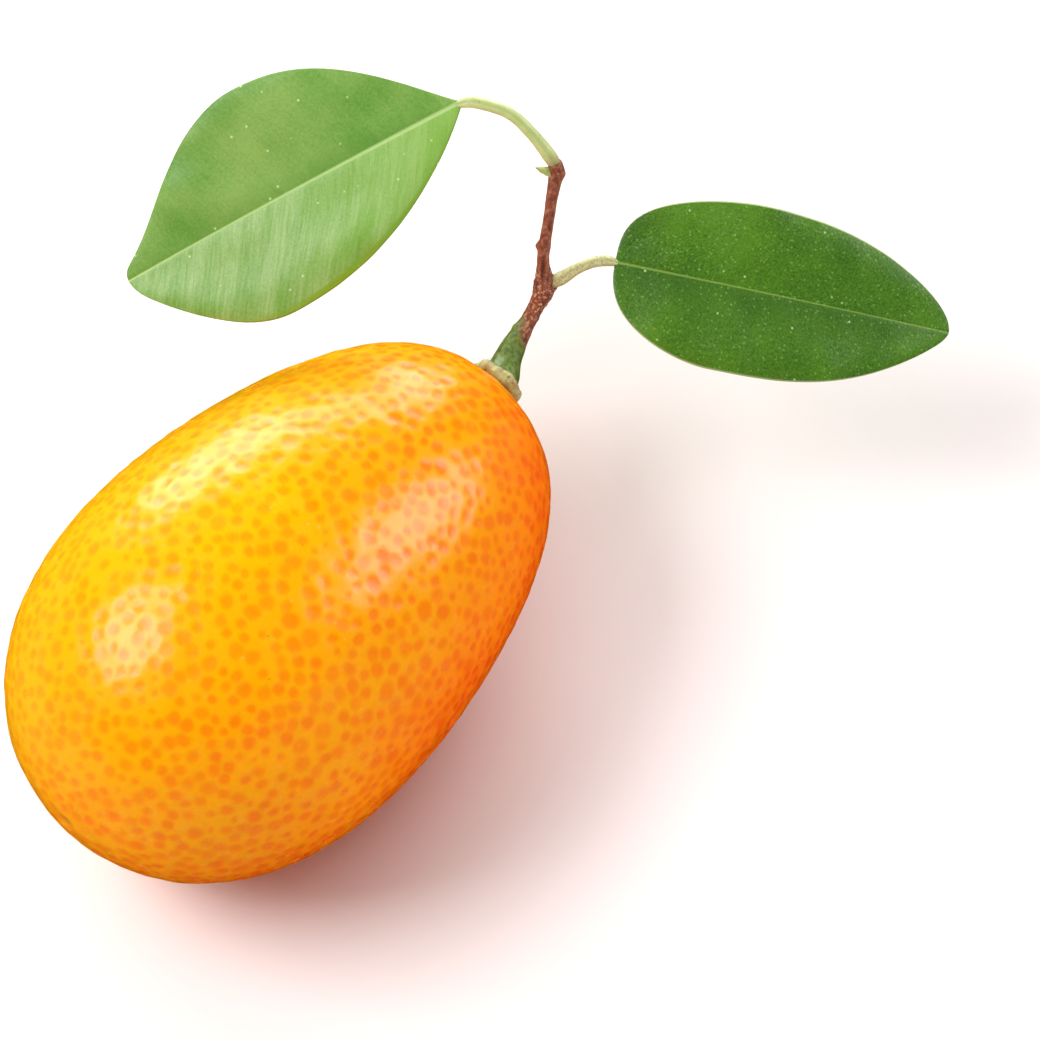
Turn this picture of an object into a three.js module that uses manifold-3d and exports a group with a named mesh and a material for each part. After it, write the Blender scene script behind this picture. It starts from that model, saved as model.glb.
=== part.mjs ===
// A kumquat picked with its twig and two leaves, lying level on a small flat spot of its peel.
// Lengths are millimetres. The origin is the centre of the flat spot, +X runs along the fruit to
// its stem end, and +Z is up.
import * as THREE from "three";
import { LoftGeometry } from "three/addons/geometries/LoftGeometry.js";
import { mergeVertices } from "three/addons/utils/BufferGeometryUtils.js";
import Module from "manifold-3d";

const wasm = await Module();
wasm.setup();

// ---- Driving dimensions ----------------------------------------------------------------------

const JOINT_GAP = 0.3; // clearance between pieces that grow out of each other
const WELD = 1e-3; // vertices closer than this are one

const FRUIT = {
  halfLength: 20.6,
  halfWidth: 13.1,
  swell: [-0.16, 0.1, 0.05], // linear, square and cubic change of width towards the stem end
  stemFlattening: 0.05, // share of the half length by which the stem end is blunted
  flatDepth: 0.5, // peel pressed away where the fruit rests
  rings: 38,
  sides: 44,
};

const CALYX = {
  offset: [0.57, 0.6], // across the fruit's axis, in Y and Z
  normal: [0.991, 0.12, 0.045],
  clearance: 0.35,
  radius: 1.82,
  thickness: 0.7,
  footShare: 0.85, // flat part of the lower face, as a share of the radius
  topShare: 0.7, // flat part of the upper face
  lobes: 5,
  lobeDepth: 0.05,
  roundingCells: 5,
  sides: 40,
};

// The stems', the blades' and the bud's places are measured from the middle of the fruit's axis.
// Each station of a stem is its place and its radius there.
const TWIG = {
  footRadius: 1.25,
  stations: [
    [[21.8, 1.09, 0.75], 0.93],
    [[23.1, 1.45, 1.2], 0.74],
    [[24.45, 1.57, 2], 0.53],
    [[25.5, 1.6, 3.1], 0.55],
    [[26.1, 1.65, 4.1], 0.74],
    [[26.55, 2.15, 5.5], 0.44],
    [[26.95, 2.45, 6.7], 0.39],
    [[27.85, 2.85, 8.8], 0.37],
    [[28.5, 3.15, 10.4], 0.38],
    [[29.1, 3.4, 11.65], 0.46],
    [[29.35, 3.55, 12.3], 0.52],
    [[29.4, 3.6, 12.5], 0.36],
  ],
  steps: 40,
  sides: 12,
};

const LEFT_PETIOLE = {
  stations: [
    [[29.45, 4, 12.9], 0.48],
    [[29.4, 4.55, 13.45], 0.44],
    [[29.3, 5.4, 14.3], 0.38],
    [[29, 7.1, 15.45], 0.36],
    [[28.2, 8.7, 15.85], 0.36],
    [[27.75, 9.55, 15.8], 0.38],
  ],
  steps: 20,
  sides: 10,
};

const RIGHT_PETIOLE = {
  stations: [
    [[27, 1, 4.7], 0.46],
    [[27.6, 0.65, 5.15], 0.38],
    [[28.25, 0.2, 5.6], 0.36],
    [[28.85, -0.3, 5.9], 0.37],
    [[29.4, -0.9, 6], 0.4],
  ],
  steps: 16,
  sides: 10,
};

// A blade's two sides are seen from above, looking from its base to its tip. On each side the
// half width is halfWidth * (1 - t^power)^round, where t runs from 0 at the widest place to 1 at
// the base or the tip.
const LEFT_LEAF = {
  base: [27.6, 9.9, 15.7],
  tip: [7.55, 20.8, 6.8],
  face: [-0.362, -0.319, 0.876],
  left: { halfWidth: 6.87, widest: 0.63, base: [2.1, 0.93], tip: [1.8, 0.87], roll: 0.9 },
  right: { halfWidth: 7.34, widest: 0.505, base: [2.25, 1.2], tip: [2, 1.3], roll: 0.35 },
  arch: 1.2, // how far the midrib bows out of its chord, towards the upper face
  fold: 0.15, // rise of each side from the midrib, per millimetre outwards
};

const RIGHT_LEAF = {
  base: [29.65, -1.3, 5.95],
  tip: [42, -19.4, 1.6],
  face: [-0.362, -0.319, 0.876],
  left: { halfWidth: 5.47, widest: 0.38, base: [1.6, 0.3], tip: [2.3, 0.72], roll: 0.35 },
  right: { halfWidth: 5.56, widest: 0.32, base: [1.7, 0.4], tip: [2.8, 0.92], roll: 0.5 },
  arch: 1.0,
  fold: 0.1,
};

const BLADE = {
  thickness: 0.35,
  edgeThickness: 0.16,
  thinningPower: 3, // how close to the margin the blade thins
  ends: [0.008, 0.99], // share of the chord where the blade's squared-off ends stand
  rollPower: 5, // how close to the margin the blade turns down
  sections: 34,
  halfCells: 5, // cells from the midrib to the margin
};

const BUD = {
  base: [28.8, 3.95, 12.35],
  tip: [28.3, 4.35, 12.8],
  radius: 0.27,
  widest: 0.35,
  rings: 8,
  sides: 12,
};

// ---- Materials -------------------------------------------------------------------------------

const FINISH = {
  peel: { color: 0xf28c0f, roughness: 0.35 },
  calyx: { color: 0x9aa04a, roughness: 0.6 },
  bark: { color: 0x6b4429, roughness: 0.75 },
  youngStem: { color: 0x9db45a, roughness: 0.5 },
  paleLeaf: { color: 0x6aa23c, roughness: 0.45 },
  darkLeaf: { color: 0x2f7a22, roughness: 0.4 },
};

function material(finish) {
  return new THREE.MeshStandardMaterial({ ...FINISH[finish], metalness: 0 });
}

function namedMesh(name, geometry, finish) {
  const mesh = new THREE.Mesh(geometry, material(finish));
  mesh.name = name;
  return mesh;
}

// ---- Solids cut with manifold-3d -------------------------------------------------------------

function toSolid(geometry) {
  const bare = new THREE.BufferGeometry();
  bare.setAttribute("position", geometry.getAttribute("position"));
  bare.setIndex(geometry.index);
  const merged = mergeVertices(bare, WELD);
  return new wasm.Manifold(
    new wasm.Mesh({
      numProp: 3,
      vertProperties: merged.attributes.position.array,
      triVerts: new Uint32Array(merged.index.array),
    }),
  );
}

function toGeometry(solid) {
  const mesh = solid.getMesh();
  const geometry = new THREE.BufferGeometry();
  geometry.setAttribute("position", new THREE.BufferAttribute(mesh.vertProperties, 3));
  geometry.setIndex(new THREE.BufferAttribute(mesh.triVerts, 1));
  geometry.computeVertexNormals();
  return geometry;
}

// ---- Fruit -----------------------------------------------------------------------------------

// The half profile at s, from -1 at the blossom end to 1 at the stem end: radius and place along
// the fruit's own axis.
function fruitProfile(s) {
  const [linear, square, cubic] = FRUIT.swell;
  const swell = 1 + linear * s + square * s ** 2 + cubic * s ** 3;
  const blunting = s > 0 ? FRUIT.stemFlattening * s ** 6 : 0;
  const radius = FRUIT.halfWidth * Math.sqrt(Math.max(0, 1 - s * s)) * swell;
  return new THREE.Vector2(radius, FRUIT.halfLength * s * (1 - blunting));
}

function fruitOutline(steps) {
  return Array.from({ length: steps + 1 }, (_, i) => fruitProfile(-Math.cos((Math.PI * i) / steps)));
}

// The middle of the fruit's axis: the widest ring stands over the origin, and the flat spot is on
// the ground.
function fruitCentre() {
  const fineSteps = 720;
  const widest = fruitOutline(fineSteps).reduce((a, b) => (b.x > a.x ? b : a));
  return new THREE.Vector3(-widest.y, 0, widest.x - FRUIT.flatDepth);
}

function fruit(centre) {
  const body = new THREE.LatheGeometry(fruitOutline(FRUIT.rings), FRUIT.sides);
  body.rotateZ(-Math.PI / 2).translate(centre.x, centre.y, centre.z);
  const side = 4 * FRUIT.halfLength;
  const ground = new THREE.BoxGeometry(side, side, side).translate(0, 0, -side / 2);
  return namedMesh("fruit", toGeometry(toSolid(body).subtract(toSolid(ground))), "peel");
}

// ---- Calyx -----------------------------------------------------------------------------------

function calyxNormal() {
  return new THREE.Vector3(...CALYX.normal).normalize();
}

// The middle of the calyx's lower face, which stands just off the peel.
function calyxFoot() {
  const stemPole = fruitProfile(1).y;
  return new THREE.Vector3(stemPole + CALYX.clearance, ...CALYX.offset);
}

function calyxTop() {
  return calyxFoot().addScaledVector(calyxNormal(), CALYX.thickness);
}

// Draws the rim in and out by a few shallow lobes, the dried sepals.
function lobeRim(geometry) {
  const place = geometry.getAttribute("position");
  for (let i = 0; i < place.count; i++) {
    const x = place.getX(i);
    const z = place.getZ(i);
    const reach = Math.hypot(x, z) / CALYX.radius;
    const wave = Math.cos(CALYX.lobes * Math.atan2(z, x)) * CALYX.lobeDepth * reach ** 2;
    place.setXYZ(i, x * (1 + wave), place.getY(i), z * (1 + wave));
  }
  return geometry;
}

function calyx() {
  const { radius, thickness, footShare, topShare, roundingCells } = CALYX;
  const outline = new THREE.Path()
    .moveTo(0, 0)
    .lineTo(footShare * radius, 0)
    .quadraticCurveTo(radius, 0, radius, thickness / 2)
    .quadraticCurveTo(radius, thickness, topShare * radius, thickness)
    .lineTo(0, thickness)
    .getPoints(roundingCells);
  const mesh = namedMesh("calyx", lobeRim(new THREE.LatheGeometry(outline, CALYX.sides)), "calyx");
  mesh.quaternion.setFromUnitVectors(new THREE.Vector3(0, 1, 0), calyxNormal());
  mesh.position.copy(calyxFoot());
  return mesh;
}

// ---- Stems: round sections swept along a curve, with a radius that changes along it ------------

function sweep({ stations, steps, sides }) {
  const route = new THREE.CatmullRomCurve3(stations.map(([place]) => new THREE.Vector3(...place)));
  const girth = new THREE.CatmullRomCurve3(stations.map(([, radius]) => new THREE.Vector3(radius)));
  const { normals, binormals } = route.computeFrenetFrames(steps);
  const sections = normals.map((normal, i) => {
    const u = i / steps;
    const centre = route.getPointAt(u);
    const radius = girth.getPoint(route.getUtoTmapping(u)).x;
    return Array.from({ length: sides }, (_, j) => {
      const angle = (2 * Math.PI * j) / sides;
      return centre
        .clone()
        .addScaledVector(normal, radius * Math.cos(angle))
        .addScaledVector(binormals[i], radius * Math.sin(angle));
    });
  });
  return new LoftGeometry(sections, { capStart: true, capEnd: true });
}

// The fruit's own stalk and the woody twig it hangs from, grown as one piece.
function twig() {
  const foot = calyxTop().addScaledVector(calyxNormal(), JOINT_GAP);
  const stations = [[foot.toArray(), TWIG.footRadius], ...TWIG.stations];
  return namedMesh("twig", sweep({ ...TWIG, stations }), "bark");
}

// ---- Leaf blades -----------------------------------------------------------------------------

function bladeHalfWidth(side, u) {
  const beforeWidest = u < side.widest;
  const t = beforeWidest ? 1 - u / side.widest : (u - side.widest) / (1 - side.widest);
  const [power, round] = beforeWidest ? side.base : side.tip;
  return side.halfWidth * (1 - t ** power) ** round;
}

// The blade's own directions: along its chord, across it to the left, and up out of its face.
function bladeAxes(leaf) {
  const along = new THREE.Vector3(...leaf.tip).sub(new THREE.Vector3(...leaf.base));
  const unit = along.clone().normalize();
  const face = new THREE.Vector3(...leaf.face);
  const up = face.addScaledVector(unit, -face.dot(unit)).normalize();
  return { along, up, across: new THREE.Vector3().crossVectors(up, unit) };
}

// A point of the blade: u runs from base to tip, v from -1 at the right margin to 1 at the left,
// and face is 1 on the upper face and -1 on the lower.
function bladePoint(leaf, axes, u, v, face) {
  const side = v > 0 ? leaf.left : leaf.right;
  const outwards = Math.abs(v) * bladeHalfWidth(side, u);
  const edge = Math.abs(v) ** BLADE.thinningPower;
  const thickness = BLADE.thickness * (1 - edge) + BLADE.edgeThickness * edge;
  const bow = leaf.arch * 4 * u * (1 - u);
  const roll = side.roll * Math.abs(v) ** BLADE.rollPower * Math.sin(Math.PI * u);
  const height = bow + leaf.fold * outwards - roll + (face * thickness) / 2;
  return new THREE.Vector3(...leaf.base)
    .addScaledVector(axes.along, u)
    .addScaledVector(axes.across, Math.sign(v) * outwards)
    .addScaledVector(axes.up, height);
}

// One closed section: over the upper face from right to left, then back along the lower face.
function bladeSection(leaf, axes, u) {
  const cells = BLADE.halfCells;
  const crossing = Array.from({ length: 2 * cells + 1 }, (_, i) => (i - cells) / cells);
  const upper = crossing.map((v) => bladePoint(leaf, axes, u, v, 1));
  const lower = crossing.map((v) => bladePoint(leaf, axes, u, v, -1));
  return [...lower.reverse(), ...upper].reverse();
}

// Sections crowd towards the two ends, where the outline turns fastest.
function blade(leaf) {
  const axes = bladeAxes(leaf);
  const [start, end] = BLADE.ends;
  const sections = Array.from({ length: BLADE.sections }, (_, i) => {
    const share = (1 - Math.cos((Math.PI * i) / (BLADE.sections - 1))) / 2;
    return bladeSection(leaf, axes, start + (end - start) * share);
  });
  return new LoftGeometry(sections, { capStart: true, capEnd: true });
}

// ---- Bud in the left leaf's axil -------------------------------------------------------------

function bud() {
  const base = new THREE.Vector3(...BUD.base);
  const span = new THREE.Vector3(...BUD.tip).sub(base);
  const outline = Array.from({ length: BUD.rings + 1 }, (_, i) => {
    const share = i / BUD.rings;
    const beforeWidest = share < BUD.widest;
    const t = beforeWidest ? 1 - share / BUD.widest : (share - BUD.widest) / (1 - BUD.widest);
    return new THREE.Vector2(BUD.radius * (1 - t ** 2), share * span.length());
  });
  const mesh = namedMesh("bud", new THREE.LatheGeometry(outline, BUD.sides), "youngStem");
  mesh.quaternion.setFromUnitVectors(new THREE.Vector3(0, 1, 0), span.clone().normalize());
  mesh.position.copy(base);
  return mesh;
}

// ---- The whole kumquat -----------------------------------------------------------------------

// All that grows out of the fruit's stem end.
function sprig() {
  const group = new THREE.Group();
  group.add(calyx(), twig(), bud());
  group.add(namedMesh("left_petiole", sweep(LEFT_PETIOLE), "youngStem"));
  group.add(namedMesh("left_leaf", blade(LEFT_LEAF), "paleLeaf"));
  group.add(namedMesh("right_petiole", sweep(RIGHT_PETIOLE), "youngStem"));
  group.add(namedMesh("right_leaf", blade(RIGHT_LEAF), "darkLeaf"));
  return group;
}

const centre = fruitCentre();
const grown = sprig();
grown.position.copy(centre);

const kumquat = new THREE.Group();
kumquat.add(fruit(centre), grown);

export default kumquat;
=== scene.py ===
"""A kumquat lying on the flat spot of its peel, with its calyx, twig, bud and two leaves.

Lengths are millimetres unless a comment says metres. Places are measured from the middle of the
fruit's axis, with +X along the fruit to its stem end and +Z up.
"""

import bpy
import numpy as np
from mathutils import Matrix, Vector
from mathutils.kdtree import KDTree


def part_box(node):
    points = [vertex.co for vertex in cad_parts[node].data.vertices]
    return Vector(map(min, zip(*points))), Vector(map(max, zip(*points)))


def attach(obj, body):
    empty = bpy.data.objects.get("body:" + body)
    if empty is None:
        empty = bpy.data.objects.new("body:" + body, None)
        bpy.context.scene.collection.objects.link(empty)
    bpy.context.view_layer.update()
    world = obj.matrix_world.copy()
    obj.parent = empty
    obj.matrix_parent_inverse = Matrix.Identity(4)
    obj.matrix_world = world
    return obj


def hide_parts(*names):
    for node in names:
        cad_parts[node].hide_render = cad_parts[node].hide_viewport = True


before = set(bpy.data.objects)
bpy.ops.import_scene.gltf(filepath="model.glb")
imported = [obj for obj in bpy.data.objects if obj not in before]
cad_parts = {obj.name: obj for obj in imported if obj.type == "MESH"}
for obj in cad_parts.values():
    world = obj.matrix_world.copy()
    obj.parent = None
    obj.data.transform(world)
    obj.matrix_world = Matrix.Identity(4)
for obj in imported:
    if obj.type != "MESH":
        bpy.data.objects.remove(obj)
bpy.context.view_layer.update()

MM = 0.001
PER_MM = 1000.0  # millimetres in a metre, and a noise scale of one cycle per millimetre

# ---- Places and sizes ------------------------------------------------------------------------

HALF_LENGTH = 20.6
HALF_WIDTH = 13.1
SWELL = (-0.16, 0.1, 0.05)  # linear, square and cubic change of width towards the stem end
STEM_FLATTENING = 0.05
STEM_POLE = HALF_LENGTH * (1 - STEM_FLATTENING)  # where the peel meets the axis by the stem
WIDEST = 13.295  # the fruit's largest radius

fruit_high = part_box("fruit")[1]
# the middle of the fruit's axis, in the frame
MIDDLE = np.array([fruit_high.x / MM - STEM_POLE, 0.0, fruit_high.z / MM - WIDEST])
GROUND = -MIDDLE[2]  # height of the floor

CALYX_OFFSET = (0.57, 0.6)  # from the fruit's axis, along Y and Z
CALYX_NORMAL = np.array([0.991, 0.12, 0.045])
CALYX_NORMAL /= np.linalg.norm(CALYX_NORMAL)
CALYX_FOOT = np.array([STEM_POLE + 0.35, *CALYX_OFFSET])
CALYX_RADIUS = 1.82

# Each station is a place and the radius there.
TWIG = [
    (tuple(CALYX_FOOT + 0.55 * CALYX_NORMAL), 1.36),
    (tuple(CALYX_FOOT + 0.95 * CALYX_NORMAL), 1.22),
    ((21.8, 1.09, 0.75), 0.95),
    ((23.1, 1.45, 1.2), 0.75),
    ((24.45, 1.57, 2), 0.53),
    ((25.5, 1.6, 3.1), 0.56),
    ((26.1, 1.65, 4.1), 0.72),
    ((26.55, 2.15, 5.5), 0.44),
    ((26.95, 2.45, 6.7), 0.39),
    ((27.85, 2.85, 8.8), 0.36),
    ((28.5, 3.15, 10.4), 0.38),
    ((29.1, 3.4, 11.65), 0.46),
    ((29.35, 3.55, 12.3), 0.52),
    ((29.42, 3.7, 12.75), 0.46),
]
LEFT_PETIOLE = [
    ((29.4, 3.72, 12.62), 0.4),
    ((29.45, 4, 12.9), 0.48),
    ((29.4, 4.55, 13.45), 0.44),
    ((29.3, 5.4, 14.3), 0.4),
    ((29, 7.1, 15.45), 0.38),
    ((28.2, 8.7, 15.85), 0.38),
    ((27.75, 9.55, 15.8), 0.37),
    ((27.0, 10.25, 15.4), 0.16),
]
RIGHT_PETIOLE = [
    ((26.6, 1.35, 4.45), 0.42),
    ((27, 1, 4.7), 0.47),
    ((27.6, 0.65, 5.15), 0.39),
    ((28.25, 0.2, 5.6), 0.35),
    ((28.85, -0.3, 5.9), 0.35),
    ((29.4, -0.9, 6), 0.36),
    ((29.85, -1.6, 5.85), 0.16),
]
BUD_BASE = (28.8, 3.95, 12.35)
BUD_TIP = (28.28, 4.37, 12.82)

# A blade's two sides are seen from above, looking from its base to its tip. On each side the
# half width is "width" * (1 - t ** power) ** rounding, where t runs from 0 at "widest", a share
# of the length, to 1 at the base or the tip, whose own two powers are given. "blunt" is added
# to it by the tip, "roll" draws the margin down, "arch" bows the blade up and "fold" raises
# both sides of the midrib.
LEFT_LEAF = dict(
    base=(27.6, 9.9, 15.7),
    tip=(7.55, 20.8, 6.8),
    left=dict(width=6.87, widest=0.63, base=(2.1, 0.93), tip=(2.0, 1.0), roll=0.9, slope=0.577),
    right=dict(width=7.34, widest=0.505, base=(2.25, 1.2), tip=(2, 1.3), roll=0.35, slope=0.25),
    arch=1.2,
    fold=0.15,
    blunt=0.75,
    vein_gap=1.5,
)
RIGHT_LEAF = dict(
    base=(29.65, -1.3, 5.95),
    tip=(42, -19.4, 1.6),
    left=dict(width=5.47, widest=0.38, base=(1.6, 0.3), tip=(2.3, 0.72), roll=0.35, slope=0.6),
    right=dict(width=5.56, widest=0.32, base=(1.7, 0.4), tip=(2.8, 0.92), roll=0.5, slope=0.6),
    arch=1.0,
    fold=0.1,
    blunt=0.3,
    vein_gap=1.9,
)
LEAF_FACE = (-0.362, -0.319, 0.876)  # the way that the upper sides of the leaves face

# ---- Camera and light ------------------------------------------------------------------------

BACK = np.array([-0.362, -0.3187, 0.876])  # from the fruit to the camera
BACK /= np.linalg.norm(BACK)
RIGHT = np.array([0.6609, -0.7505, 0.0])  # to the right in the picture
RIGHT /= np.linalg.norm(RIGHT)
UP = np.cross(BACK, RIGHT)
CAMERA_OFFSET = (14.439, 4.985, 274.26)  # right, up and back from the fruit's middle
LENS = 150
SENSOR_WIDTH = 36
CLIP_NEAR, CLIP_FAR = 0.01, 20  # metres
LAMP_DISTANCE = 0.8  # metres


def to_world(point):
    """A place measured from the fruit's middle, in metres in the frame."""
    return Vector((np.asarray(point) + MIDDLE) * MM)


def look(obj, place, back, up):
    """Puts a camera or lamp at a place, with its own +Z along back."""
    back = Vector(back).normalized()
    side = Vector(up).cross(back).normalized()
    turned = Matrix((side, back.cross(side), back)).transposed()
    obj.matrix_world = Matrix.Translation(place) @ turned.to_4x4()


def add_camera():
    data = bpy.data.cameras.new("camera")
    data.lens = LENS
    data.sensor_width = SENSOR_WIDTH
    data.clip_start = CLIP_NEAR
    data.clip_end = CLIP_FAR
    camera = bpy.data.objects.new("camera", data)
    bpy.context.scene.collection.objects.link(camera)
    across, raised, away = CAMERA_OFFSET
    look(camera, to_world(across * RIGHT + raised * UP + away * BACK), BACK, UP)
    bpy.context.scene.camera = camera


def add_softbox(name, azimuth, elevation, size, radiance, lit=None, mirrored=True):
    """A rectangular lamp aimed at the fruit's middle; angles are degrees, and size is in metres.

    A collection given as lit holds all that the lamp shines on. A lamp that is not mirrored
    makes no highlights.
    """
    turn, rise = np.radians((azimuth, elevation))
    towards = Vector((np.cos(turn) * np.cos(rise), np.sin(turn) * np.cos(rise), np.sin(rise)))
    data = bpy.data.lights.new(name, "AREA")
    data.shape = "RECTANGLE"
    data.size, data.size_y = size
    data.energy = radiance * np.pi * size[0] * size[1]
    lamp = bpy.data.objects.new(name, data)
    lamp.light_linking.receiver_collection = lit
    lamp.visible_glossy = mirrored
    bpy.context.scene.collection.objects.link(lamp)
    look(lamp, to_world((0, 0, 0)) + LAMP_DISTANCE * towards, towards, (0, 0, 1))


def add_world(strength, color):
    world = bpy.data.worlds.new("studio")
    world.use_nodes = True
    background = world.node_tree.nodes["Background"]
    background.inputs["Color"].default_value = (*color, 1)
    background.inputs["Strength"].default_value = strength
    bpy.context.scene.world = world
    # a pale reflection would veil the full colour of the peel's shaded side
    world.cycles_visibility.glossy = False


# ---- Node helpers ----------------------------------------------------------------------------


class Nodes:
    """The node tree of one material, built a node at a time."""

    def __init__(self, name):
        self.material = bpy.data.materials.new(name)
        self.material.use_nodes = True
        self.tree = self.material.node_tree
        self.tree.nodes.clear()

    def add(self, kind, inputs=None, **settings):
        node = self.tree.nodes.new(kind)
        for key, value in settings.items():
            setattr(node, key, value)
        for key, value in (inputs or {}).items():
            if isinstance(value, bpy.types.NodeSocket):
                self.tree.links.new(value, node.inputs[key])
            else:
                node.inputs[key].default_value = value
        return node

    def value(self, name):
        return self.add("ShaderNodeAttribute", attribute_name=name).outputs["Fac"]

    def place(self):
        return self.add("ShaderNodeTexCoord").outputs["Object"]

    def texture(self, vector, scale, detail=3.0, roughness=0.5):
        inputs = {"Vector": vector, "Scale": scale, "Detail": detail, "Roughness": roughness}
        return self.add("ShaderNodeTexNoise", inputs).outputs["Fac"]

    def noise(self, per_mm, detail=3.0, roughness=0.5, vector=None):
        """Noise of so many cycles per millimetre."""
        return self.texture(vector or self.place(), per_mm * PER_MM, detail, roughness)

    def specks(self, per_mm, radius_mm, share):
        """Small round specks in a random share of the cells of a lattice."""
        inputs = {"Vector": self.place(), "Scale": per_mm * PER_MM}
        cell = self.add("ShaderNodeTexVoronoi", inputs)
        rim = radius_mm * per_mm
        disc = self.spread(cell.outputs["Distance"], rim, 0.5 * rim)
        lottery = self.add("ShaderNodeSeparateColor", {0: cell.outputs["Color"]}).outputs[0]
        return self.times(disc, self.math("LESS_THAN", lottery, share))

    def math(self, operation, first, second=0.0, clamp=False):
        node = self.add("ShaderNodeMath", {0: first, 1: second}, operation=operation)
        node.use_clamp = clamp
        return node.outputs[0]

    def times(self, first, second):
        return self.math("MULTIPLY", first, second)

    def blend(self, *parts):
        """The sum of values, each given with its share."""
        total = 0.0
        for value, share in parts:
            total = self.math("ADD", self.times(value, share), total)
        return total

    def spread(self, value, low, high, to_low=0.0, to_high=1.0):
        keys = {"Value": value, "From Min": low, "From Max": high}
        keys.update({"To Min": to_low, "To Max": to_high})
        return self.add("ShaderNodeMapRange", keys).outputs["Result"]

    def mix(self, share, first, second, blend="MIX"):
        inputs = {0: share, 6: first, 7: second}
        node = self.add("ShaderNodeMix", inputs, data_type="RGBA", blend_type=blend)
        return node.outputs[2]

    def paint(self, color, mask, strength, over):
        """A colour with another one over it, as strongly as the mask times the strength."""
        return self.mix(self.times(mask, strength), color, over)

    def bump(self, height, distance_mm, strength=1.0, normal=None):
        inputs = {"Height": height, "Distance": distance_mm * MM, "Strength": strength}
        if normal is not None:
            inputs["Normal"] = normal
        return self.add("ShaderNodeBump", inputs).outputs["Normal"]

    def finish(self, **inputs):
        named = {key.replace("_", " "): value for key, value in inputs.items()}
        shader = self.add("ShaderNodeBsdfPrincipled", named)
        self.add("ShaderNodeOutputMaterial", {"Surface": shader.outputs["BSDF"]})
        return self.material


def rgb(red, green, blue):
    return (red, green, blue, 1.0)


# Two lamps light only the pieces, and one lights only the floor.
kumquat = bpy.data.collections.new("kumquat")
ground_only = bpy.data.collections.new("ground_only")

# ---- Mesh helpers ----------------------------------------------------------------------------


def add_piece(name, points, faces, material, values):
    """One smooth mesh in the frame, standing for the CAD node of the same name.

    The values are columns of numbers, one for each point, that the material reads.
    """
    mesh = bpy.data.meshes.new(name)
    mesh.from_pydata(((points + MIDDLE) * MM).tolist(), [], [list(map(int, f)) for f in faces])
    mesh.polygons.foreach_set("use_smooth", [True] * len(mesh.polygons))
    for key, column in values.items():
        layer = mesh.attributes.new(key, "FLOAT", "POINT")
        layer.data.foreach_set("value", np.asarray(column, dtype=np.float32))
    mesh.materials.append(material)
    mesh.validate()
    mesh.update()
    piece = bpy.data.objects.new(name + "_skin", mesh)
    bpy.context.scene.collection.objects.link(piece)
    kumquat.objects.link(piece)
    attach(piece, "root")
    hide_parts(name)


def ring_angles(sides):
    return np.arange(sides) * 2 * np.pi / sides


def around_ring(angle, side, other):
    """Directions at angles from one direction towards another one that is square to it."""
    return np.cos(angle)[:, None] * side + np.sin(angle)[:, None] * other


def tube_faces(rings, sides):
    """Quads between rings of points that are stored one ring after another."""
    ring, side = np.meshgrid(np.arange(rings - 1), np.arange(sides), indexing="ij")
    after = (side + 1) % sides
    corners = (ring * sides + side, ring * sides + after)
    corners += ((ring + 1) * sides + after, (ring + 1) * sides + side)
    return np.stack(corners, axis=-1).reshape(-1, 4).tolist()


def closed_tube(sections):
    """Rings of points closed at both ends by a middle point, and their faces."""
    rings, sides, _ = sections.shape
    points = sections.reshape(-1, 3)
    ends = np.stack([sections[0].mean(axis=0), sections[-1].mean(axis=0)])
    count = rings * sides
    faces = tube_faces(rings, sides)
    last = (rings - 1) * sides
    for j in range(sides):
        after = (j + 1) % sides
        faces.append([count, after, j])
        faces.append([count + 1, last + j, last + after])
    return np.concatenate([points, ends]), faces


def quad_normals(points, quads):
    """A normal of each quad, twice as long as the quad's area."""
    corners = points[quads]
    return np.cross(corners[:, 2] - corners[:, 0], corners[:, 3] - corners[:, 1])


def at_corners(amounts, quads, count):
    """What each of the count points gets when every quad's amount goes to its four corners."""
    total = np.zeros((count, *amounts.shape[1:]))
    for corner in range(4):
        np.add.at(total, quads[:, corner], amounts)
    return total


def ripples(points, wavelength, rng, count=24):
    """Smooth random waves of about one wavelength, with a mean square of one half."""
    ways = rng.normal(size=(count, 3))
    ways /= np.linalg.norm(ways, axis=1, keepdims=True)
    lengths = wavelength * rng.uniform(0.75, 1.35, count)
    phases = rng.uniform(0, 2 * np.pi, count)
    angles = points @ (ways * (2 * np.pi / lengths[:, None])).T + phases
    return np.cos(angles).sum(axis=1) / np.sqrt(count)


def smooth_step(value):
    value = np.clip(value, 0, 1)
    return value * value * (3 - 2 * value)


# ---- Fruit -----------------------------------------------------------------------------------

FRUIT_CELLS = (150, 105, 105)
GLAND_GAP = 0.82  # least distance between the middles of two oil glands
GLAND_TRIES = 30000
GLAND_RADII = (0.42, 0.62)  # least and most, as shares of the way to the two nearest glands
SMALL_GLANDS = 0.2  # the share of the glands that are smaller than that
SMALL_SIZE = 0.62  # their radii beside those of the rest
GLAND_STRETCH = 0.35  # makes each gland an oval
GLAND_DEPTH = 0.036
DENT_REACH = 1.35  # radii from a gland's middle to the edge of its dent
USUAL_RADIUS = 0.45  # a gland of this radius has a dent of the full depth
WAVE_HEIGHT = 0.03
CALYX_HOLLOW, HOLLOW_REACH = 0.16, 1.5
SCAR_DEPTH, SCAR_REACH = 0.14, 0.7
SCAR_STAIN, COLLAR_STAIN = 0.42, 2.6  # how far the peel is stained around scar and calyx


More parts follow.
